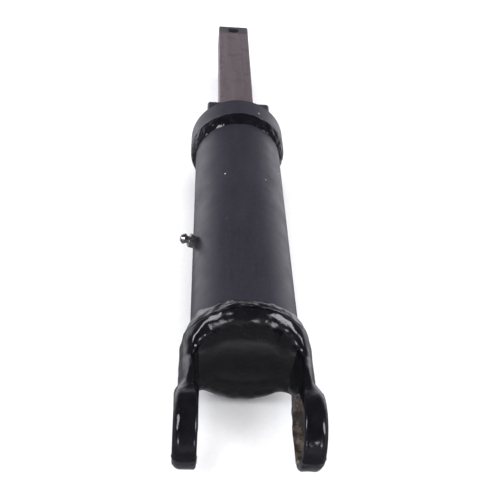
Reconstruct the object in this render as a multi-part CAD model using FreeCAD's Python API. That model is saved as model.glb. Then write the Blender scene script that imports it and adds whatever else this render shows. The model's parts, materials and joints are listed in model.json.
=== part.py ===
"""Telescoping drive shaft half: forked yoke, torque tube, end collar and rectangular slip bar.

Frame, in millimetres: the origin is the middle of the two cross bores, +X runs along the
bores, +Y along the tube from the yoke towards the free end of the bar, and +Z is up.
"""

import math
import os

import FreeCAD
import Part

# ---- driving dimensions -------------------------------------------------------------------
# torque tube
TUBE_RADIUS = 30.15
TUBE_WALL = 5.0
TUBE_START = 56.0
TUBE_END = 258.0

# forked yoke
EAR_RADIUS = 20.3
EAR_INNER = 25.0
EAR_OUTER = 37.3
CROSS_BORE_RADIUS = 16.0
BORE_CHAMFER = 0.8
ARM_INNER = 26.1
ARM_DRAFT = 0.052
ARM_OUTER = 35.6
ARM_END_HALF = 20.0
ARM_HALF_HEIGHT = 21.5
FLARE_START = 19.0
FLARE_HEIGHT = 25.0
THROAT_FLOOR = 43.0
THROAT_CORNER = 10.0
DISH_RADIUS = 19.5
DISH_DEPTH = 3.0
RIM_ROUND = 9.0
EAR_ROUND = 4.5
SHOULDER_START = 50.0
WELD_FACE_RADIUS = 33.2
WELD_FACE_START = 53.6
SPIGOT_END = 65.0

# weld beads
YOKE_BEAD_END = 59.0
YOKE_BEAD_CROWN = 0.8
COLLAR_BEAD_START = 240.0
COLLAR_BEAD_CROWN = 0.7

# end collar
COLLAR_RADIUS = 34.0
COLLAR_START = 248.0
COLLAR_END = 267.9
COLLAR_EDGE = 0.8

# guide sleeve with its square head
GUIDE_START = 200.0
HEAD_SIDE = 46.0
HEAD_LENGTH = 14.5
HEAD_CORNER = 2.5
TACK_LEG = 4.0
TACK_LENGTH = 18.0
WIPER_DEPTH = 5.0
WIPER_LENGTH = 6.0
WIPER_SETBACK = 4.0

# slip bar
BAR_WIDTH = 26.5
BAR_THICKNESS = 19.8
BAR_INNER_END = 106.0
BAR_OUTER_END = 450.6
BAR_EDGE = 1.2
BAR_GAP = 0.06
PIN_HOLE_RADIUS = 4.75
PIN_HOLE_FROM_END = 7.9

# grease nipple
NIPPLE_STATION = 132.0
NIPPLE_ANGLE = 162.0
THREAD_RADIUS = 3.0
HEX_FLATS = 7.94
HEX_BOTTOM = 1.0
HEX_TOP = 4.2
NECK_RADIUS = 2.35
NECK_START = 4.8
NECK_END = 5.9
HEAD_RADIUS = 3.25
HEAD_WIDEST = 7.0
HEAD_SHOULDER = 7.8
HEAD_FACE_RADIUS = 1.85
NIPPLE_HEIGHT = 9.6
CHAMBER_RADIUS = 1.55
ORIFICE_RADIUS = 0.85
BALL_RADIUS = 1.3
BALL_CENTRE = 7.25
BALL_SEAT_TOP = 8.75
SEAT_TOP = 1.8
SEAT_THICKNESS = 0.8
SEAT_HOLE_RADIUS = 0.6
SPRING_WIRE_RADIUS = 0.15
SPRING_COIL_RADIUS = 1.0
SPRING_TURNS = 6

# ---- sizes that follow --------------------------------------------------------------------
TUBE_BORE = TUBE_RADIUS - TUBE_WALL
HEAD_END = COLLAR_END + HEAD_LENGTH
AXIS_X = FreeCAD.Vector(1, 0, 0)
AXIS_Y = FreeCAD.Vector(0, 1, 0)
AXIS_Z = FreeCAD.Vector(0, 0, 1)
ORIGIN = FreeCAD.Vector(0, 0, 0)


def point(x, y, z=0.0):
    return FreeCAD.Vector(x, y, z)


def line(start, end):
    return Part.LineSegment(start, end).toShape()


def arc(start, middle, end):
    return Part.Arc(start, middle, end).toShape()


def face_of(edges):
    return Part.Face(Part.Wire(Part.__sortEdges__(edges)))


def polygon_face(points):
    return Part.Face(Part.makePolygon(points + [points[0]]))


def ring(inner, outer, start, end):
    """A round ring about the Y axis; an inner radius of 0 makes it a solid rod."""
    shape = Part.makeCylinder(outer, end - start, point(0, start), AXIS_Y)
    if inner > 0:
        shape = shape.cut(Part.makeCylinder(inner, end - start, point(0, start), AXIS_Y))
    return shape


def block(width, height, start, end):
    """A rectangular block centred on the Y axis."""
    corner = point(-width / 2, start, -height / 2)
    return Part.makeBox(width, end - start, height, corner)


def edges_where(shape, test):
    return [edge for edge in shape.Edges if test(edge)]


def runs_along_y(edge):
    if len(edge.Vertexes) != 2:
        return False
    first, last = (vertex.Point for vertex in edge.Vertexes)
    return abs(first.x - last.x) < 1e-6 and abs(first.z - last.z) < 1e-6


# ---- yoke ---------------------------------------------------------------------------------
def yoke_envelope():
    """The round outside of the arms."""
    return ring(0, ARM_OUTER, -EAR_RADIUS, SHOULDER_START)


def yoke_base():
    """The round base of the fork, turned, with a rounded rim and a weld face."""
    rim_middle = point(
        ARM_OUTER - RIM_ROUND + RIM_ROUND * math.sqrt(0.5),
        THROAT_FLOOR + RIM_ROUND - RIM_ROUND * math.sqrt(0.5),
    )
    rim_end = point(ARM_OUTER, THROAT_FLOOR + RIM_ROUND)
    edges = [
        line(point(0, THROAT_FLOOR), point(ARM_OUTER - RIM_ROUND, THROAT_FLOOR)),
        arc(point(ARM_OUTER - RIM_ROUND, THROAT_FLOOR), rim_middle, rim_end),
        line(rim_end, point(WELD_FACE_RADIUS, WELD_FACE_START)),
        line(point(WELD_FACE_RADIUS, WELD_FACE_START), point(TUBE_RADIUS, TUBE_START)),
        line(point(TUBE_RADIUS, TUBE_START), point(TUBE_BORE, TUBE_START)),
        line(point(TUBE_BORE, TUBE_START), point(TUBE_BORE, SPIGOT_END)),
        line(point(TUBE_BORE, SPIGOT_END), point(0, SPIGOT_END)),
        line(point(0, SPIGOT_END), point(0, THROAT_FLOOR)),
    ]
    return face_of(edges).revolve(ORIGIN, AXIS_Y, 360)


def fork_side_profile():
    """The arms seen from the side, getting wider towards the base."""
    edges = [arc(point(0, 0, ARM_END_HALF), point(0, -ARM_END_HALF), point(0, 0, -ARM_END_HALF))]
    for side in (1, -1):
        ear_top = point(0, 0, side * ARM_END_HALF)
        arm_end = point(0, FLARE_START, side * ARM_HALF_HEIGHT)
        base = point(0, SHOULDER_START + 1.0, side * FLARE_HEIGHT)
        edges.append(line(ear_top, arm_end))
        edges.append(line(arm_end, base))
    edges.append(
        line(
            point(0, SHOULDER_START + 1.0, FLARE_HEIGHT),
            point(0, SHOULDER_START + 1.0, -FLARE_HEIGHT),
        )
    )
    profile = face_of(edges)
    profile.translate(point(-2 * EAR_OUTER, 0))
    return profile.extrude(point(4 * EAR_OUTER, 0))


def throat():
    """The slot between the arms: open at the front, wider above than below, round-cornered."""
    front = -3 * EAR_RADIUS
    reach = 2 * EAR_OUTER
    half_above = ARM_INNER + ARM_DRAFT * reach
    half_below = ARM_INNER - ARM_DRAFT * reach
    outline = polygon_face(
        [
            point(-half_below, front, -reach),
            point(half_below, front, -reach),
            point(half_above, front, reach),
            point(-half_above, front, reach),
        ]
    )
    slot = outline.extrude(point(0, THROAT_FLOOR - front))
    corners = edges_where(
        slot,
        lambda edge: all(abs(v.Y - THROAT_FLOOR) < 1e-6 for v in edge.Vertexes)
        and abs(edge.Vertexes[0].Z - edge.Vertexes[1].Z) > 1.0,
    )
    return slot.makeFillet(THROAT_CORNER, corners)


def dish():
    """The shallow round hollow in the floor of the throat."""
    sphere_radius = (DISH_RADIUS**2 + DISH_DEPTH**2) / (2 * DISH_DEPTH)
    centre = point(0, THROAT_FLOOR + DISH_DEPTH - sphere_radius)
    reach = ring(0, DISH_RADIUS, THROAT_FLOOR - DISH_DEPTH, THROAT_FLOOR + DISH_DEPTH)
    return Part.makeSphere(sphere_radius, centre).common(reach)


def ear_boss(side):
    """The thick round end of one arm, with its outer edge rounded over."""
    start = point(side * EAR_INNER, 0)
    boss = Part.makeCylinder(EAR_RADIUS, EAR_OUTER - EAR_INNER, start, AXIS_X * side)
    outer = edges_where(
        boss,
        lambda edge: len(edge.Vertexes) == 1 and abs(abs(edge.Vertexes[0].X) - EAR_OUTER) < 1e-6,
    )
    return boss.makeFillet(EAR_ROUND, outer)


def cross_bore(side):
    """One cross bore, with a small chamfer at both of its mouths."""
    start = point(side * EAR_INNER, 0)
    length = EAR_OUTER - EAR_INNER
    bore = Part.makeCylinder(CROSS_BORE_RADIUS, length, start, AXIS_X * side)
    wide = CROSS_BORE_RADIUS + BORE_CHAMFER
    inner_mouth = Part.makeCone(wide, CROSS_BORE_RADIUS, BORE_CHAMFER, start, AXIS_X * side)
    end = point(side * EAR_OUTER, 0)
    outer_mouth = Part.makeCone(wide, CROSS_BORE_RADIUS, BORE_CHAMFER, end, AXIS_X * -side)
    return bore.fuse([inner_mouth, outer_mouth])


def yoke():
    fork = yoke_envelope().common(fork_side_profile())
    fork = fork.cut(throat())
    fork = fork.fuse([yoke_base(), ear_boss(1), ear_boss(-1)])
    return fork.cut([dish(), cross_bore(1), cross_bore(-1)])


def bead(toe_on_tube, tube_side, toe_on_part, part_radius, root, crown):
    """A fillet weld bead round the tube, crowned outwards, as a turned ring."""
    first = point(TUBE_RADIUS, toe_on_tube)
    last = point(part_radius, toe_on_part)
    middle = (first + last) * 0.5
    run = last - first
    outward = point(abs(run.y), tube_side * abs(run.x)).normalize()
    edges = [
        arc(first, middle + outward * crown, last),
        line(last, point(TUBE_RADIUS, root)),
        line(point(TUBE_RADIUS, root), first),
    ]
    return face_of(edges).revolve(ORIGIN, AXIS_Y, 360)


def yoke_weld():
    return bead(YOKE_BEAD_END, 1, WELD_FACE_START, WELD_FACE_RADIUS, TUBE_START, YOKE_BEAD_CROWN)


def collar_weld():
    toe_radius = COLLAR_RADIUS - COLLAR_EDGE
    return bead(COLLAR_BEAD_START, -1, COLLAR_START, toe_radius, COLLAR_START, COLLAR_BEAD_CROWN)


# ---- tube and collar ----------------------------------------------------------------------
def nipple_placement(shape):
    """Moves a shape made along +Z from the tube surface to the nipple's place on the tube."""
    tilt = FreeCAD.Rotation(AXIS_Y, 90.0 - NIPPLE_ANGLE)
    angle = math.radians(NIPPLE_ANGLE)
    foot = point(TUBE_RADIUS * math.cos(angle), NIPPLE_STATION, TUBE_RADIUS * math.sin(angle))
    placed = shape.copy()
    placed.Placement = FreeCAD.Placement(foot, tilt).multiply(placed.Placement)
    return placed


def tube():
    shell = ring(TUBE_BORE, TUBE_RADIUS, TUBE_START, TUBE_END)
    drilling = Part.makeCylinder(THREAD_RADIUS, 4 * TUBE_WALL, point(0, 0, -2 * TUBE_WALL))
    return shell.cut(nipple_placement(drilling))


def collar():
    body = ring(0, COLLAR_RADIUS, COLLAR_START, COLLAR_END)
    rims = edges_where(body, lambda edge: len(edge.Vertexes) == 1)
    body = body.makeChamfer(COLLAR_EDGE, rims)
    body = body.cut(ring(0, TUBE_RADIUS, COLLAR_START, TUBE_END))
    return body.cut(ring(0, TUBE_BORE, TUBE_END, COLLAR_END))


# ---- guide sleeve -------------------------------------------------------------------------
def guide_sleeve():
    head = block(HEAD_SIDE, HEAD_SIDE, COLLAR_END, HEAD_END)
    head = head.makeFillet(HEAD_CORNER, edges_where(head, runs_along_y))
    sleeve = ring(0, TUBE_BORE, GUIDE_START, COLLAR_END).fuse(head)
    sleeve = sleeve.removeSplitter()
    bore = block(BAR_WIDTH + 2 * BAR_GAP, BAR_THICKNESS + 2 * BAR_GAP, GUIDE_START, HEAD_END)
    return sleeve.cut([bore, wiper_groove()])


def wiper_groove():
    """The room for the wiper, cut round the bar's passage near the outer end of the head."""
    end = HEAD_END - WIPER_SETBACK
    width = BAR_WIDTH + 2 * WIPER_DEPTH
    height = BAR_THICKNESS + 2 * WIPER_DEPTH
    return block(width, height, end - WIPER_LENGTH, end)


def bar_wiper():
    end = HEAD_END - WIPER_SETBACK
    opening = block(BAR_WIDTH + 2 * BAR_GAP, BAR_THICKNESS + 2 * BAR_GAP, end - WIPER_LENGTH, end)
    return wiper_groove().cut(opening)


def guide_tack_welds():
    """Four short fillet welds that hold the square head to the back of the collar."""
    half = HEAD_SIDE / 2
    first = polygon_face(
        [
            point(-TACK_LENGTH / 2, COLLAR_END, half),
            point(-TACK_LENGTH / 2, COLLAR_END + TACK_LEG, half),
            point(-TACK_LENGTH / 2, COLLAR_END, half + TACK_LEG),
        ]
    ).extrude(point(TACK_LENGTH, 0))
    tacks = []
    for quarter in range(4):
        tack = first.copy()
        tack.rotate(ORIGIN, AXIS_Y, 90 * quarter)
        tacks.append(tack)
    return Part.makeCompound(tacks)


# ---- slip bar -----------------------------------------------------------------------------
def slip_bar():
    bar = block(BAR_WIDTH, BAR_THICKNESS, BAR_INNER_END, BAR_OUTER_END)
    bar = bar.makeChamfer(BAR_EDGE, bar.Edges)
    station = BAR_OUTER_END - PIN_HOLE_FROM_END
    hole = Part.makeCylinder(PIN_HOLE_RADIUS, 2 * BAR_THICKNESS, point(0, station, -BAR_THICKNESS))
    return bar.cut(hole)


# ---- grease nipple, made along +Z with 0 at the tube surface --------------------------------
def nipple_body():
    corner = HEX_FLATS / math.sqrt(3)
    angles = [math.radians(60 * i) for i in range(6)]
    corners = [point(corner * math.cos(a), corner * math.sin(a), HEX_BOTTOM) for a in angles]
    hexagon = polygon_face(corners).extrude(point(0, 0, HEX_TOP - HEX_BOTTOM))
    thread_end = -TUBE_WALL
    outline = [
        point(0, 0, thread_end),
        point(THREAD_RADIUS, 0, thread_end),
        point(THREAD_RADIUS, 0, HEX_BOTTOM),
        point(THREAD_RADIUS, 0, HEX_TOP),
        point(NECK_RADIUS, 0, NECK_START),
        point(NECK_RADIUS, 0, NECK_END),
        point(HEAD_RADIUS, 0, HEAD_WIDEST),
        point(HEAD_RADIUS, 0, HEAD_SHOULDER),
        point(HEAD_FACE_RADIUS, 0, NIPPLE_HEIGHT),
        point(0, 0, NIPPLE_HEIGHT),
    ]
    body = polygon_face(outline).revolve(ORIGIN, AXIS_Z, 360)
    passage = polygon_face(
        [
            point(0, 0, thread_end),
            point(CHAMBER_RADIUS, 0, thread_end),
            point(CHAMBER_RADIUS, 0, BALL_CENTRE),
            point(ORIFICE_RADIUS, 0, BALL_SEAT_TOP),
            point(ORIFICE_RADIUS, 0, NIPPLE_HEIGHT),
            point(0, 0, NIPPLE_HEIGHT),
        ]
    ).revolve(ORIGIN, AXIS_Z, 360)
    return body.fuse(hexagon).removeSplitter().cut(passage)


def nipple_ball():
    return Part.makeSphere(BALL_RADIUS, point(0, 0, BALL_CENTRE))


def nipple_spring():
    """A coil spring from the seat washer to just under the ball."""
    bottom = SEAT_TOP + SPRING_WIRE_RADIUS
    top = BALL_CENTRE - BALL_RADIUS - 2 * SPRING_WIRE_RADIUS
    pitch = (top - bottom) / SPRING_TURNS
    helix = Part.makeHelix(pitch, top - bottom, SPRING_COIL_RADIUS)
    helix.translate(point(0, 0, bottom))
    wire = Part.Wire(helix.Edges)
    section = Part.makeCircle(SPRING_WIRE_RADIUS, point(SPRING_COIL_RADIUS, 0, bottom), AXIS_Y)
    return wire.makePipeShell([Part.Wire(section)], True, True)


def nipple_seat():
    bottom = point(0, 0, SEAT_TOP - SEAT_THICKNESS)
    washer = Part.makeCylinder(CHAMBER_RADIUS, SEAT_THICKNESS, bottom)
    return washer.cut(Part.makeCylinder(SEAT_HOLE_RADIUS, SEAT_THICKNESS, bottom))


PIECES = {
    "yoke": yoke,
    "yoke_weld": yoke_weld,
    "tube": tube,
    "collar": collar,
    "collar_weld": collar_weld,
    "guide_sleeve": guide_sleeve,
    "guide_tack_welds": guide_tack_welds,
    "bar_wiper": bar_wiper,
    "slip_bar": slip_bar,
    "nipple_body": lambda: nipple_placement(nipple_body()),
    "nipple_ball": lambda: nipple_placement(nipple_ball()),
    "nipple_spring": lambda: nipple_placement(nipple_spring()),
    "nipple_seat": lambda: nipple_placement(nipple_seat()),
}


def main():
    os.makedirs("parts", exist_ok=True)
    for name, make in PIECES.items():
        shape = make()
        print(name, "valid", shape.isValid(), "solids", len(shape.Solids), "mm3", round(shape.Volume, 1))
        shape.exportStep(f"parts/{name}.step")


main()
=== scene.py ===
"""Looks of the telescoping drive shaft half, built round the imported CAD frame.

Shapes are worked out in millimetres, in the CAD frame: +X along the cross bores, +Y along the
tube from the yoke to the free end of the bar, +Z up. Meshes are scaled to metres at the end.
"""
import json
import math

import bmesh
import bpy
import numpy as np
from mathutils import Matrix, Vector, noise


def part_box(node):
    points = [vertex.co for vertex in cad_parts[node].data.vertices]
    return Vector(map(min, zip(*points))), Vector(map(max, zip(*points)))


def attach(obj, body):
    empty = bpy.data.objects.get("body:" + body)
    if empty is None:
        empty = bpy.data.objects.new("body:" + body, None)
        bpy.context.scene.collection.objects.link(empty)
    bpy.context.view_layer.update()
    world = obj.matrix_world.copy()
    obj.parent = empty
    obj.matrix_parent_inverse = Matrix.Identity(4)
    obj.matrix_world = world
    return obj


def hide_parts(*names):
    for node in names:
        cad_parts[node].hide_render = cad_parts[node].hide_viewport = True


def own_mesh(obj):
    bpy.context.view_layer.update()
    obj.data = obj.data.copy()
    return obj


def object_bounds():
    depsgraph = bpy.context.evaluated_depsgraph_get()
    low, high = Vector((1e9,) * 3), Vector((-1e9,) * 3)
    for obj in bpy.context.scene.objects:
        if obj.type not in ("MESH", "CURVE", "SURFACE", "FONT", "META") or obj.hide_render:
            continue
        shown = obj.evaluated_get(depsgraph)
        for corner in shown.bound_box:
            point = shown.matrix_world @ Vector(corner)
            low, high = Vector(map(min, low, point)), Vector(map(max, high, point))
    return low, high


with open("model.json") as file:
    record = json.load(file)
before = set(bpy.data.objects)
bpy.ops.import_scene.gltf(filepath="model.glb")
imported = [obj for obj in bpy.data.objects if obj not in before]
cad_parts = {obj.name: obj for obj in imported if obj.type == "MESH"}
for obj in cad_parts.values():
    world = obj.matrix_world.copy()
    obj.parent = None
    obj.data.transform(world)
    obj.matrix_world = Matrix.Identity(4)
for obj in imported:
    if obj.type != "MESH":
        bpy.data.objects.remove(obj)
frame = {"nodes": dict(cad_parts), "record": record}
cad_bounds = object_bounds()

MM = 0.001
ROOT = "fork_and_tube"
BAR = "slip_bar"


def box_mm(node):
    low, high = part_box(node)
    return np.array(low) / MM, np.array(high) / MM


# ---- sizes read from the frame --------------------------------------------------------------
MOUNTS = {mount["name"]: mount for mount in frame["record"]["mounts"]}
CROSS_BORE = MOUNTS["cross_bore"]["dims"]["r_mm"]
PIN_HOLE = MOUNTS["bar_pin_hole"]["dims"]["r_mm"]
PIN_STATION = MOUNTS["bar_pin_hole"]["pos_m"][1] / MM
YOKE_LOW, YOKE_HIGH = box_mm("yoke")
TUBE_RADIUS = box_mm("tube")[1][0]
COLLAR_LOW, COLLAR_HIGH = box_mm("collar")
BAR_LOW, BAR_HIGH = box_mm("slip_bar")
YOKE_RADIUS = YOKE_HIGH[2]
EAR_RADIUS = -YOKE_LOW[1]
EAR_OUTER = YOKE_HIGH[0]
COLLAR_RADIUS = COLLAR_HIGH[0]

# ---- sizes of the forging that the frame doesn't state ---------------------------------------
EAR_INNER = 25.0
EAR_INSET = 0.4  # how far the outer face stays in, to leave room for the lumps
EAR_ROUND = 4.0
EAR_BORE_EDGE = 1.6
EAR_FILLET = 3.5
ARM_INNER = 26.1
ARM_DRAFT = 0.052
ARM_HALF_HEIGHT = 16.5
ARM_FLARE = 8.0
ARM_ROUND = 4.5
ARM_TIP = 12.0
THROAT_FLOOR = 43.0
THROAT_ROUND = 10.0
HOLLOW_REACH = 46.0
HOLLOW_HALF_SLOT = 5.0
FLASH_HEIGHT = 0.35
FLASH_WIDTH = 0.7
WELD_STATION = 49.0
WELD_TAPER = 0.75
YOKE_END = 56.0
BORE_CHAMFER = 0.9
BORE_FLARE = 2.0
BAR_EDGE = 1.3
PIN_CHAMFER = 0.5
BLUED_LENGTH = 14.4
GRID = 0.62  # spacing of the grid that the yoke is drawn from


# ---- signed distances in millimetres; negative is inside -------------------------------------
def round_and(a, b, radius):
    """Where both are solid, with the edge between them rounded to radius."""
    rounded = np.hypot(np.maximum(radius + a, 0), np.maximum(radius + b, 0))
    return np.minimum(-radius, np.maximum(a, b)) + rounded


def round_or(a, b, radius):
    """Where either is solid, with the corner between them filled to radius."""
    rounded = np.hypot(np.maximum(radius - a, 0), np.maximum(radius - b, 0))
    return np.maximum(radius, np.minimum(a, b)) - rounded


def ramp(value, start, end):
    t = np.clip((value - start) / (end - start), 0, 1)
    return t * t * (3 - 2 * t)


def yoke_field(x, y, z):
    """The forged yoke without its cross bores."""
    side = np.abs(x)
    height = np.abs(z)
    radius = np.hypot(x, z)
    outside = radius - (YOKE_RADIUS - WELD_TAPER * np.maximum(y - WELD_STATION, 0))
    arm_height = ARM_HALF_HEIGHT + ARM_FLARE * ramp(y, 0, 34)
    inner = np.maximum(ARM_INNER + ARM_DRAFT * z, EAR_INNER)
    arms = round_and(inner - side, height - arm_height, ARM_ROUND)
    arms = round_and(arms, -y - ARM_TIP, 4.0)
    fork = round_or(arms, THROAT_FLOOR - y, THROAT_ROUND)
    fork = round_and(fork, outside, 4.0 + 5.0 * ramp(y, 18, 42))
    disc = np.hypot(y, z) - EAR_RADIUS
    ears = round_and(disc, side - EAR_OUTER + EAR_INSET, EAR_ROUND)
    ears = round_and(ears, EAR_INNER - side, EAR_BORE_EDGE)
    fork = round_or(fork, ears, EAR_FILLET)
    along = np.maximum(side - HOLLOW_HALF_SLOT, 0)
    hollow = np.sqrt(along**2 + y**2 + z**2) - HOLLOW_REACH
    hollow = np.maximum(hollow, THROAT_FLOOR - 4.0 - y)
    fork = round_and(fork, -hollow, 0.8)
    flash = FLASH_HEIGHT * np.exp(-((z / FLASH_WIDTH) ** 2)) * ramp(-y, 6, 17)
    return np.maximum(fork - flash, y - YOKE_END)


def surface_net(field, low, high, step):
    """Vertices and quads of the surface where field is zero, from a regular grid."""
    axes = [np.arange(a, b + step, step) for a, b in zip(low, high)]
    values = field(*np.meshgrid(*axes, indexing="ij"))
    inside = values < 0
    cells = tuple(n - 1 for n in values.shape)
    corners = [(i, j, k) for i in (0, 1) for j in (0, 1) for k in (0, 1)]

    def corner(array, offset):
        return array[tuple(slice(o, o + n) for o, n in zip(offset, cells))]

    total = sum(corner(inside, c).astype(int) for c in corners)
    active = (total > 0) & (total < 8)
    where = np.argwhere(active)
    index = np.full(cells, -1)
    index[active] = np.arange(len(where))
    place = np.zeros((len(where), 3))
    count = np.zeros(len(where))
    for a in corners:
        for axis in range(3):
            if a[axis]:
                continue
            b = tuple(1 if i == axis else v for i, v in enumerate(a))
            va = corner(values, a)[active]
            vb = corner(values, b)[active]
            crosses = (va < 0) != (vb < 0)
            share = np.where(crosses, va / np.where(crosses, va - vb, 1), 0)
            offset = np.array(a, float)[None, :] + share[:, None] * np.eye(3)[axis]
            place += np.where(crosses[:, None], offset, 0)
            count += crosses
    points = (where + place / count[:, None]) * step + np.array(low)
    quads = []
    for axis in range(3):
        u, v = [a for a in range(3) if a != axis]
        first = [slice(None)] * 3
        second = [slice(None)] * 3
        first[axis] = slice(0, -1)
        second[axis] = slice(1, None)
        start = inside[tuple(first)]
        change = start != inside[tuple(second)]
        spots = np.argwhere(change)
        spots = spots[(spots[:, u] > 0) & (spots[:, v] > 0)]
        spots = spots[(spots[:, u] < cells[u]) & (spots[:, v] < cells[v])]
        ring = []
        for du, dv in ((-1, -1), (0, -1), (0, 0), (-1, 0)):
            shifted = spots.copy()
            shifted[:, u] += du
            shifted[:, v] += dv
            ring.append(index[tuple(shifted.T)])
        ring = np.stack(ring, 1)
        outward = start[tuple(spots.T)]
        if axis == 1:
            outward = ~outward
        ring[~outward] = ring[~outward][:, ::-1]
        quads.append(ring)
    return points, np.concatenate(quads)


def gradient(field, points, reach=0.05):
    parts = []
    for axis in range(3):
        shift = np.zeros(3)
        shift[axis] = reach
        ahead = field(*(points + shift).T)
        behind = field(*(points - shift).T)
        parts.append((ahead - behind) / (2 * reach))
    return np.stack(parts, 1)


def settle(field, points, rounds=2):
    """Moves points onto the surface of field and returns them with their unit normals."""
    for _ in range(rounds):
        slope = gradient(field, points)
        square = np.maximum((slope**2).sum(1), 0.2)
        points = points - (field(*points.T) / square)[:, None] * slope
    slope = gradient(field, points)
    return points, slope / np.maximum(np.linalg.norm(slope, axis=1), 1e-6)[:, None]


def lumps(points, size, seed=0.0):
    """Smooth noise from -1 to 1 at each point, with features about size millimetres wide."""
    shift = Vector((seed, seed * 1.7, -seed))
    return np.array([noise.noise(Vector(p) / size + shift) for p in points])


# ---- meshes --------------------------------------------------------------------------------
def mesh_object(name, points, faces, materials, smooth_angle=None):
    mesh = bpy.data.meshes.new(name)
    mesh.from_pydata((np.asarray(points) * MM).tolist(), [], [list(map(int, f)) for f in faces])
    for material in materials:
        mesh.materials.append(material)
    mesh.validate()
    work = bmesh.new()
    work.from_mesh(mesh)
    bmesh.ops.recalc_face_normals(work, faces=work.faces)
    work.to_mesh(mesh)
    work.free()
    mesh.shade_smooth()
    if smooth_angle:
        mesh.set_sharp_from_angle(angle=math.radians(smooth_angle))
    piece = bpy.data.objects.new(name, mesh)
    bpy.context.scene.collection.objects.link(piece)
    return piece


def grid_faces(rows, columns):
    """Quads of a grid that closes on itself both ways."""
    faces = []
    for i in range(rows):
        for j in range(columns):
            a = i * columns + j
            b = i * columns + (j + 1) % columns
            c = (i + 1) % rows * columns + (j + 1) % columns
            d = (i + 1) % rows * columns + j
            faces.append((a, b, c, d))
    return faces


def turned(name, outline, axis, materials, centre=(0, 0, 0), steps=96, smooth_angle=35):
    """A lathe shape: outline holds (along, radius) pairs and starts and ends on the axis."""
    points = []
    faces = []
    inner = outline[1:-1]
    columns = len(inner)
    for i in range(steps):
        angle = 2 * math.pi * i / steps
        for along, radius in inner:
            points.append((along, radius * math.cos(angle), radius * math.sin(angle)))
    for i in range(steps):
        for j in range(columns - 1):
            a = i * columns + j
            b = (i + 1) % steps * columns + j
            faces.append((a, a + 1, b + 1, b))
    first = len(points)
    points.append((outline[0][0], 0, 0))
    points.append((outline[-1][0], 0, 0))
    for i in range(steps):
        a = i * columns
        b = (i + 1) % steps * columns
        faces.append((first, a, b))
        faces.append((first + 1, b + columns - 1, a + columns - 1))
    points = np.array(points, float)
    if axis == "z":
        points = points[:, [1, 2, 0]]
    return mesh_object(name, points + np.array(centre), faces, materials, smooth_angle)


def cut(piece, cutter):
    """Takes cutter out of piece for good, and removes the cutter."""
    modifier = piece.modifiers.new("cut", "BOOLEAN")
    modifier.operation = "DIFFERENCE"
    modifier.solver = "EXACT"
    modifier.object = cutter
    apply_modifiers(piece)
    bpy.data.objects.remove(cutter)


def apply_modifiers(piece):
    graph = bpy.context.evaluated_depsgraph_get()
    mesh = bpy.data.meshes.new_from_object(piece.evaluated_get(graph))
    piece.modifiers.clear()
    piece.data = mesh


# ---- materials -----------------------------------------------------------------------------
class Nodes:
    """Adds nodes to one material, with their settings and links in a line each."""

    def __init__(self, name):
        self.material = bpy.data.materials.new(name)
        self.material.use_nodes = True
        self.tree = self.material.node_tree
        self.shader = self.tree.nodes["Principled BSDF"]
        self.place = self.add("ShaderNodeTexCoord").outputs["Object"]

    def add(self, kind, inputs=None, **settings):
        node = self.tree.nodes.new(kind)
        for key, value in settings.items():
            setattr(node, key, value)
        for key, value in (inputs or {}).items():
            if isinstance(value, bpy.types.NodeSocket):
                self.tree.links.new(value, node.inputs[key])
            else:
                node.inputs[key].default_value = value
        return node

    def noise(self, size_mm, detail=4.0, roughness=0.55, stretch=(1, 1, 1), distortion=0.0):
        scale = [s / (size_mm * MM) for s in stretch]
        mapping = self.add("ShaderNodeMapping", {"Vector": self.place, "Scale": scale})
        inputs = {
            "Vector": mapping.outputs["Vector"],
            "Scale": 1.0,
            "Detail": detail,
            "Roughness": roughness,
            "Distortion": distortion,
        }
        return self.add("ShaderNodeTexNoise", inputs).outputs["Fac"]

    def spots(self, size_mm, radius, seed=0.0):
        """1 in small round spots scattered one to a cell, 0 elsewhere."""
        mapping = self.add(
            "ShaderNodeMapping",
            {"Vector": self.place, "Scale": [1 / (size_mm * MM)] * 3, "Location": [seed] * 3},
        )
        inputs = {"Vector": mapping.outputs["Vector"], "Scale": 1.0, "Randomness": 1.0}
        distance = self.add("ShaderNodeTexVoronoi", inputs).outputs["Distance"]
        return self.steps(distance, radius, radius * 0.6, 0.0, 1.0)

    def steps(self, value, start, end, low=0.0, high=1.0):
        inputs = {"Value": value, "From Min": start, "From Max": end, "To Min": low, "To Max": high}
        return self.add("ShaderNodeMapRange", inputs).outputs["Result"]

    def mix(self, share, first, second):
        node = self.add("ShaderNodeMix", data_type="RGBA")
        for slot, value in ((0, share), (6, first), (7, second)):
            if isinstance(value, bpy.types.NodeSocket):
                self.tree.links.new(value, node.inputs[slot])
            else:
                node.inputs[slot].default_value = value if slot == 0 else (*value, 1.0)
        return node.outputs[2]

    def maths(self, operation, first, second):
        node = self.add("ShaderNodeMath", operation=operation)
        for slot, value in enumerate((first, second)):
            if isinstance(value, bpy.types.NodeSocket):
                self.tree.links.new(value, node.inputs[slot])
            else:
                node.inputs[slot].default_value = value
        return node.outputs[0]

    def bump(self, height, depth_mm, before=None):
        inputs = {"Height": height, "Strength": 1.0, "Distance": depth_mm * MM}
        if before is not None:
            inputs["Normal"] = before
        return self.add("ShaderNodeBump", inputs).outputs["Normal"]

    def along(self, axis):
        split = self.add("ShaderNodeSeparateXYZ", {"Vector": self.place})
        return split.outputs[axis]

    def finish(self, **inputs):
        names = {
            "color": "Base Color",
            "metallic": "Metallic",
            "roughness": "Roughness",
            "normal": "Normal",
            "specular": "Specular IOR Level",
        }
        for key, value in inputs.items():
            socket = self.shader.inputs[names[key]]
            if isinstance(value, bpy.types.NodeSocket):
                self.tree.links.new(value, socket)
            else:
                socket.default_value = (*value, 1.0) if key == "color" else value
        return self.material


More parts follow.
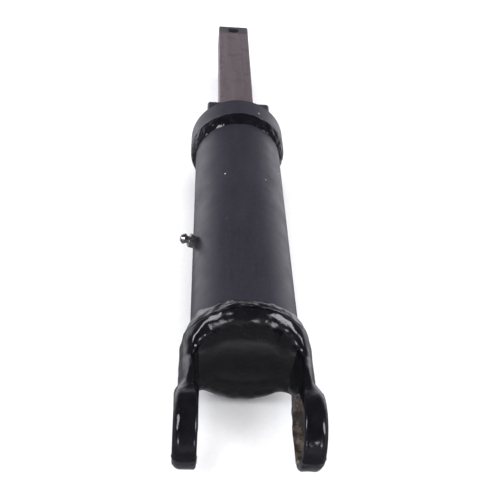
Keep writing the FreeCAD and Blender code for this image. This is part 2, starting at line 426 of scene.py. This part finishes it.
def gloss_paint(name, depth_mm, recess=False):
    """Thick black gloss enamel: soft waves, fine grit, a little dust, duller in the throat."""
    n = Nodes(name)
    waves = n.noise(6.0, detail=3.0)
    grit = n.noise(0.7, detail=2.0)
    dust = n.maths("MULTIPLY", n.spots(1.6, 0.09), n.steps(n.noise(14.0), 0.5, 0.62))
    tone = n.mix(n.steps(waves, 0.35, 0.65), (0.0022, 0.0023, 0.0034), (0.0042, 0.0043, 0.0062))
    color = n.mix(dust, tone, (0.16, 0.16, 0.17))
    rough = n.steps(n.noise(9.0, detail=5.0), 0.35, 0.7, 0.1, 0.24)
    if recess:
        off_axis = n.add("ShaderNodeVectorMath", {0: n.place, 1: (1, 0, 1)}, operation="MULTIPLY")
        off_axis = n.add("ShaderNodeVectorMath", {0: off_axis.outputs[0]}, operation="LENGTH")
        centre = n.steps(off_axis.outputs["Value"], 23.0 * MM, 28.0 * MM, 1.0, 0.0)
        floor = n.steps(n.along("Y"), 20.0 * MM, 36.0 * MM)
        rough = n.maths("ADD", rough, n.maths("MULTIPLY", n.maths("MULTIPLY", centre, floor), 0.06))
    normal = n.bump(waves, depth_mm)
    normal = n.bump(n.noise(2.4, detail=3.0), 0.07, normal)
    normal = n.bump(grit, 0.012, normal)
    normal = n.bump(dust, 0.05, normal)
    return n.finish(color=color, roughness=rough, normal=normal, specular=0.5)


def satin_paint(name):
    """Satin blue-black paint: orange peel, faint runs, pale flecks where it is chipped."""
    n = Nodes(name)
    broad = n.noise(38.0, detail=5.0)
    runs = n.noise(5.0, detail=3.0, stretch=(1, 0.12, 1))
    peel = n.noise(0.9, detail=2.0)
    mottle = n.noise(1.6, detail=5.0, roughness=0.7)
    flecks = n.maths("MULTIPLY", n.spots(9.0, 0.075), n.steps(n.noise(21.0), 0.54, 0.57))
    specks = n.maths("MULTIPLY", n.spots(3.2, 0.05, 4.0), n.steps(n.noise(16.0), 0.56, 0.66))
    tone = n.mix(n.steps(broad, 0.3, 0.7), (0.0115, 0.011, 0.017), (0.017, 0.0162, 0.024))
    tone = n.mix(n.steps(runs, 0.45, 0.75, 0.0, 0.5), tone, (0.022, 0.021, 0.03))
    tone = n.mix(n.steps(mottle, 0.4, 0.75, 0.0, 0.7), tone, (0.027, 0.0255, 0.034))
    tone = n.mix(specks, tone, (0.10, 0.095, 0.095))
    color = n.mix(flecks, tone, (0.55, 0.50, 0.44))
    rough = n.steps(n.noise(12.0, detail=6.0), 0.3, 0.7, 0.34, 0.47)
    normal = n.bump(peel, 0.035)
    normal = n.bump(n.noise(4.0), 0.06, normal)
    normal = n.bump(n.maths("ADD", flecks, specks), -0.06, normal)
    return n.finish(color=color, roughness=rough, normal=normal, specular=0.5)


def bare_bar(name):
    """Mill-finish steel: lengthwise draw marks, oil film, stains, and a blued end band."""
    n = Nodes(name)
    draw = n.noise(0.55, detail=5.0, stretch=(1, 0.018, 1))
    bands = n.noise(4.0, detail=3.0, stretch=(1, 0.04, 1))
    stains = n.noise(11.0, detail=6.0, roughness=0.65, distortion=0.6)
    pits = n.spots(1.7, 0.13)
    tone = n.mix(n.steps(bands, 0.3, 0.7), (0.118, 0.094, 0.104), (0.17, 0.136, 0.148))
    tone = n.mix(n.steps(draw, 0.3, 0.75, 0.0, 0.6), tone, (0.20, 0.172, 0.176))
    tone = n.mix(n.steps(stains, 0.52, 0.74, 0.0, 0.75), tone, (0.075, 0.066, 0.068))
    tone = n.mix(n.maths("MULTIPLY", pits, 0.55), tone, (0.04, 0.036, 0.036))
    edge = n.maths("ADD", n.along("Y"), n.maths("MULTIPLY", n.noise(3.0), 0.0016))
    blued_from = (BAR_HIGH[1] - BLUED_LENGTH) * MM
    blued = n.steps(edge, blued_from, blued_from + 0.0012)
    color = n.mix(n.maths("MULTIPLY", blued, 0.75), tone, (0.062, 0.063, 0.075))
    rough = n.steps(stains, 0.3, 0.75, 0.36, 0.56)
    normal = n.bump(draw, 0.02)
    normal = n.bump(pits, -0.03, normal)
    return n.finish(color=color, metallic=0.55, roughness=rough, normal=normal)


def bright_plate(name):
    """Bright plated steel of the grease nipple, with grease in its corners."""
    n = Nodes(name)
    cloud = n.noise(1.3, detail=4.0)
    tone = n.mix(n.steps(cloud, 0.35, 0.7), (0.55, 0.53, 0.51), (0.34, 0.31, 0.29))
    rough = n.steps(n.noise(0.6, detail=3.0), 0.3, 0.7, 0.12, 0.3)
    return n.finish(color=tone, metallic=1.0, roughness=rough, normal=n.bump(cloud, 0.015))


def machined_bore(name):
    """Bored steel with rings of tool marks, oil and a film of rust."""
    n = Nodes(name)
    rings = n.noise(0.35, detail=2.0, stretch=(1, 0.05, 0.05))
    rust = n.noise(5.0, detail=6.0, roughness=0.65)
    tone = n.mix(n.steps(rings, 0.35, 0.65), (0.13, 0.10, 0.085), (0.19, 0.145, 0.12))
    tone = n.mix(n.steps(rust, 0.36, 0.54, 0.0, 0.92), tone, (0.012, 0.009, 0.009))
    rough = n.steps(rust, 0.35, 0.7, 0.3, 0.6)
    return n.finish(color=tone, metallic=0.4, roughness=rough, normal=n.bump(rings, 0.02))


def oiled_felt(name):
    n = Nodes(name)
    fibres = n.noise(0.4, detail=5.0, stretch=(1, 1, 0.4))
    tone = n.mix(n.steps(fibres, 0.3, 0.7), (0.045, 0.04, 0.034), (0.10, 0.09, 0.075))
    rough = n.steps(fibres, 0.3, 0.7, 0.75, 0.95)
    return n.finish(color=tone, roughness=rough, normal=n.bump(fibres, 0.15))


def floor_finish(name):
    n = Nodes(name)
    grain = n.noise(3.0, detail=3.0)
    tone = n.mix(n.steps(grain, 0.3, 0.7), (0.90, 0.90, 0.905), (0.93, 0.93, 0.93))
    return n.finish(color=tone, roughness=0.6, specular=0.2)


YOKE_PAINT = gloss_paint("gloss_black_forging", 0.12, recess=True)
BEAD_PAINT = gloss_paint("gloss_black_bead", 0.2)
TUBE_PAINT = satin_paint("satin_black_tube")
BAR_STEEL = bare_bar("bare_bar_steel")
NIPPLE_STEEL = bright_plate("bright_nipple_steel")
BORE_STEEL = machined_bore("machined_bore_steel")
FELT = oiled_felt("oiled_felt")


# ---- yoke ----------------------------------------------------------------------------------
def make_yoke():
    reach = np.array([YOKE_RADIUS + 3.0, 0, YOKE_RADIUS + 2.0])
    low = -reach + [0, YOKE_LOW[1] - 2.0, 0]
    high = reach + [0, YOKE_END + 2.0, 0]
    points, quads = surface_net(yoke_field, low, high, GRID)
    points, normals = settle(yoke_field, points)
    forged = np.hypot(points[:, 1], points[:, 2]) > CROSS_BORE + 2.0
    forged &= points[:, 1] < YOKE_END - 1.0
    rough_share = 0.45 + 0.55 * ramp(points[:, 1], 30, 42)
    off_axis = np.hypot(points[:, 0], points[:, 2])
    rough_share *= 1.0 - 0.85 * ramp(off_axis, 27.0, 23.0) * ramp(points[:, 1], 32.0, 38.0)
    depth = 0.4 * rough_share * lumps(points, 4.8, 3.0) + 0.05 * lumps(points, 2.2, 8.0) - 0.15
    points = points + normals * (depth * forged)[:, None]
    points = np.clip(points, YOKE_LOW + 0.01, YOKE_HIGH - 0.01)
    yoke = mesh_object("yoke_forging", points, quads, [YOKE_PAINT, BORE_STEEL])
    cutter_end = 45
    wide = CROSS_BORE + BORE_FLARE
    stops = [
        (EAR_OUTER + BORE_FLARE - BORE_CHAMFER, wide),
        (EAR_OUTER - BORE_CHAMFER, CROSS_BORE),
        (EAR_INNER + BORE_CHAMFER, CROSS_BORE),
        (EAR_INNER + BORE_CHAMFER - BORE_FLARE, wide),
    ]
    outline = [(-cutter_end, 0), (-cutter_end, wide)]
    outline += [(-along, radius) for along, radius in stops]
    outline += stops[::-1]
    outline += [(cutter_end, wide), (cutter_end, 0)]
    cut(yoke, turned("bore_cutter", outline, "x", [BORE_STEEL], steps=160))
    for face in yoke.data.polygons:
        x, y, z = (v / MM for v in face.center)
        if math.hypot(y, z) < CROSS_BORE + BORE_CHAMFER + 0.1 and abs(x) > EAR_INNER - 1.5:
            face.material_index = 1
    yoke.data.shade_smooth()
    yoke.data.set_sharp_from_angle(angle=math.radians(38))
    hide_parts("yoke")
    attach(yoke, ROOT)


# ---- weld beads ----------------------------------------------------------------------------
def make_bead(name, node, toe, heel, crown, relief, share_of_ripple, seed, turns=900, across=30):
    """A lumpy bead round the tube. toe and heel give (radius, station) at an angle from the top."""
    under = 8  # points across the bead's underside
    sunk = 1.2
    angles = np.arange(turns) * 2 * math.pi / turns
    points = []
    for angle in angles:
        toe_r, toe_y = toe(angle)
        heel_r, heel_y = heel(angle)
        run = np.array([heel_r - toe_r, heel_y - toe_y])
        outward = np.array([abs(run[1]), -run[0] * np.sign(run[1])]) / np.linalg.norm(run)
        for step in range(across + 1):
            share = step / across
            arch = math.sin(math.pi * share)
            radius, along = np.array([toe_r, toe_y]) + run * share + outward * crown * arch
            spot = Vector((radius * math.sin(angle), along, radius * math.cos(angle)))
            coarse = noise.noise(spot / 5.0 + Vector((seed, 0, 0)))
            middle = noise.noise(spot / 2.3 + Vector((0, seed, 0)))
            fine = noise.noise(spot / 0.9 + Vector((0, 0, seed)))
            lift = (coarse + share_of_ripple * middle + 0.08 * fine) * relief * min(1.0, 2.2 * arch)
            radius += outward[0] * lift
            along += outward[1] * lift
            points.append((radius * math.sin(angle), along, radius * math.cos(angle)))
        for step in range(1, under):
            share = 1 - step / under
            radius, along = np.array([toe_r, toe_y]) + run * share
            sink = sunk * math.sin(math.pi * share)
            radius -= outward[0] * sink
            along -= outward[1] * sink
            points.append((radius * math.sin(angle), along, radius * math.cos(angle)))
    piece = mesh_object(name, points, grid_faces(turns, across + under), [BEAD_PAINT])
    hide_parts(node)
    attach(piece, ROOT)


def wander(angle, size, seed):
    """How far a bead's edge strays, in millimetres, at an angle round the tube."""
    spot = Vector((math.sin(angle), math.cos(angle), seed))
    return size * (noise.noise(spot * 3.2) + 0.5 * noise.noise(spot * 8.0))


def make_yoke_bead():
    def toe(angle):
        spread = math.sin(angle) ** 2
        return TUBE_RADIUS - 0.12, 59.0 + 6.5 * spread + wander(angle, 2.0, 2.0)

    def heel(angle):
        spread = math.sin(angle) ** 2
        return YOKE_RADIUS - 0.55, 49.4 + 1.6 * spread + wander(angle, 0.5, 5.0)

    make_bead("yoke_weld_bead", "yoke_weld", toe, heel, 1.1, 0.7, 0.25, 11.0)


def make_collar_bead():
    def toe(angle):
        return TUBE_RADIUS - 0.12, 240.2 + wander(angle, 0.8, 7.0)

    def heel(angle):
        return COLLAR_RADIUS - 0.12, COLLAR_LOW[1] + 0.5 + wander(angle, 0.8, 9.0)

    make_bead("collar_weld_bead", "collar_weld", toe, heel, 0.5, 0.62, 0.4, 23.0)


# ---- bar -----------------------------------------------------------------------------------
def make_bar():
    bar_mesh = bmesh.new()
    bmesh.ops.create_cube(bar_mesh, size=1.0)
    size = BAR_HIGH - BAR_LOW
    middle = (BAR_HIGH + BAR_LOW) / 2
    for vertex in bar_mesh.verts:
        vertex.co = Vector([m + v * s for m, v, s in zip(middle, vertex.co, size)])
    edges = bar_mesh.edges[:]
    bmesh.ops.bevel(
        bar_mesh, geom=edges, offset=BAR_EDGE, segments=5, profile=0.5, affect="EDGES"
    )
    points = [v.co[:] for v in bar_mesh.verts]
    faces = [[v.index for v in f.verts] for f in bar_mesh.faces]
    bar_mesh.free()
    bar = mesh_object("slip_bar_steel", points, faces, [BAR_STEEL], 40)
    top = BAR_HIGH[2]
    past = 3.0
    outline = [
        (-top - past, 0),
        (-top - past, PIN_HOLE + past + PIN_CHAMFER),
        (-top + PIN_CHAMFER, PIN_HOLE),
        (top - PIN_CHAMFER, PIN_HOLE),
        (top + past, PIN_HOLE + past + PIN_CHAMFER),
        (top + past, 0),
    ]
    cut(bar, turned("pin_cutter", outline, "z", [BAR_STEEL], centre=(0, PIN_STATION, 0)))
    bar.data.shade_smooth()
    bar.data.set_sharp_from_angle(angle=math.radians(30))
    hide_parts("slip_bar")
    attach(bar, BAR)


# ---- spring of the grease nipple -------------------------------------------------------------
def make_spring():
    """The coil on the CAD solid's own form, copied into a mesh of its own on the fork and tube
    body.
    """
    solid = frame["nodes"]["nipple_spring"].data
    points = np.array([v.co[:] for v in solid.vertices]) / MM
    faces = [p.vertices[:] for p in solid.polygons]
    spring = mesh_object("nipple_spring_coil", points, faces, [NIPPLE_STEEL], 40)
    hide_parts("nipple_spring")
    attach(spring, ROOT)
    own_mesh(spring)


# ---- carried-over CAD nodes ------------------------------------------------------------------
def dress(node, material):
    target = frame["nodes"][node]
    for slot in target.material_slots:
        slot.material = material
    if not target.material_slots:
        target.data.materials.append(material)


# ---- stage ---------------------------------------------------------------------------------
def make_stage():
    bottom = cad_bounds[0][2]
    floor_mesh = bpy.data.meshes.new("floor")
    reach = 6.0
    corners = [(-reach, -reach), (reach, -reach), (reach, reach), (-reach, reach)]
    floor_mesh.from_pydata([(x, y, bottom - 0.0002) for x, y in corners], [], [(0, 1, 2, 3)])
    floor_mesh.materials.append(floor_finish("pale_floor"))
    floor = bpy.data.objects.new("floor", floor_mesh)
    bpy.context.scene.collection.objects.link(floor)
    floor.visible_glossy = False


def softbox(name, direction, distance, size, power, target=(0.0, 0.1, 0.0)):
    """An area light that looks at target from a direction given as a vector."""
    data = bpy.data.lights.new(name, "AREA")
    data.shape = "RECTANGLE"
    data.size, data.size_y = size
    data.energy = power
    data.color = (0.94, 0.945, 1.0)
    light = bpy.data.objects.new(name, data)
    aim = Vector(direction).normalized()
    light.location = Vector(target) + aim * distance
    light.rotation_euler = aim.to_track_quat("Z", "Y").to_euler()
    bpy.context.scene.collection.objects.link(light)


def make_lights():
    softbox("left_box", (-0.70, -0.30, 0.62), 1.3, (0.40, 0.72), 8.5)
    softbox("right_box", (0.80, -0.35, 0.48), 1.3, (0.36, 0.72), 8.0)
    softbox("front_left", (-0.45, -0.88, 0.14), 1.4, (0.40, 0.3), 2.5)
    softbox("front_right", (0.36, -0.92, 0.14), 1.4, (0.34, 0.3), 2.5)
    fill_data = bpy.data.lights.new("fill", "SUN")
    fill_data.energy = 3.4
    fill_data.angle = math.radians(80)
    fill = bpy.data.objects.new("fill", fill_data)
    fill.visible_glossy = False
    bpy.context.scene.collection.objects.link(fill)


def make_room():
    """The room round the object: pale above and behind, dark below, white where it is seen."""
    world = bpy.data.worlds.new("studio")
    world.use_nodes = True
    tree = world.node_tree
    background = tree.nodes["Background"]
    tint = tree.nodes.new("ShaderNodeMix")
    tint.data_type = "RGBA"
    tint.inputs[6].default_value = (0.93, 0.92, 1.0, 1.0)
    tint.inputs[7].default_value = (1.0, 1.0, 1.0, 1.0)
    tree.links.new(tint.outputs[2], background.inputs["Color"])

    def ramp_node(source, start, end, low, high):
        node = tree.nodes.new("ShaderNodeMapRange")
        node.interpolation_type = "SMOOTHSTEP"
        limits = {"From Min": start, "From Max": end, "To Min": low, "To Max": high}
        for key, value in limits.items():
            node.inputs[key].default_value = value
        tree.links.new(source, node.inputs["Value"])
        return node.outputs["Result"]

    def maths(operation, first, second):
        node = tree.nodes.new("ShaderNodeMath")
        node.operation = operation
        for socket, value in zip(node.inputs, (first, second)):
            if isinstance(value, float):
                socket.default_value = value
            else:
                tree.links.new(value, socket)
        return node.outputs[0]

    direction = tree.nodes.new("ShaderNodeTexCoord").outputs["Generated"]
    split = tree.nodes.new("ShaderNodeSeparateXYZ")
    tree.links.new(direction, split.inputs[0])
    above = ramp_node(split.outputs["Z"], 0.1, 0.9, 0.3, 0.12)
    horizon = ramp_node(split.outputs["Z"], -0.12, 0.12, 1.0, 0.0)
    front = ramp_node(split.outputs["Z"], -0.5, -0.12, 0.03, 0.3)
    under = ramp_node(split.outputs["Z"], -1.0, -0.75, 0.16, 0.0)
    behind = ramp_node(split.outputs["Y"], 0.25, 0.85, 0.0, 1.0)
    low = ramp_node(split.outputs["Z"], -0.1, 0.45, 0.92, 0.0)
    sunk = ramp_node(split.outputs["Z"], -0.62, -0.40, 0.0, 1.0)
    floor_glow = maths("MULTIPLY", maths("ADD", front, under), horizon)
    room = maths("ADD", maths("MULTIPLY", above, 0.6), floor_glow)
    room = maths("ADD", room, maths("MULTIPLY", behind, maths("MULTIPLY", low, sunk)))
    seen = tree.nodes.new("ShaderNodeLightPath").outputs["Is Camera Ray"]
    tree.links.new(seen, tint.inputs[0])
    strength = maths("MAXIMUM", room, seen)
    tree.links.new(strength, background.inputs["Strength"])
    bpy.context.scene.world = world


def make_camera():
    """The camera stands over the yoke, looks down along the tube and is a little rolled."""
    place = Vector((-0.0321, -0.2406, 0.3102))
    heading = math.radians(5.69)
    dip = math.radians(39.21)
    roll = math.radians(5.90)
    data = bpy.data.cameras.new("camera")
    data.lens = 56.4
    data.sensor_width = 36.0
    data.clip_start = 0.01
    camera = bpy.data.objects.new("camera", data)
    level = Matrix.Rotation(math.pi / 2 - dip, 4, "X")
    turn = Matrix.Rotation(-heading, 4, "Z")
    tilt = Matrix.Rotation(roll, 4, "Z")
    camera.matrix_world = Matrix.Translation(place) @ turn @ level @ tilt
    bpy.context.scene.collection.objects.link(camera)
    bpy.context.scene.camera = camera


make_camera()
make_lights()
make_room()
make_stage()
bpy.context.scene.view_settings.view_transform = "Standard"

make_yoke()
make_yoke_bead()
make_collar_bead()
make_bar()
make_spring()
dress("tube", TUBE_PAINT)
dress("collar", TUBE_PAINT)
dress("guide_sleeve", TUBE_PAINT)
dress("guide_tack_welds", BEAD_PAINT)
dress("bar_wiper", FELT)
for piece_name in ("nipple_body", "nipple_ball", "nipple_seat"):
    dress(piece_name, NIPPLE_STEEL)
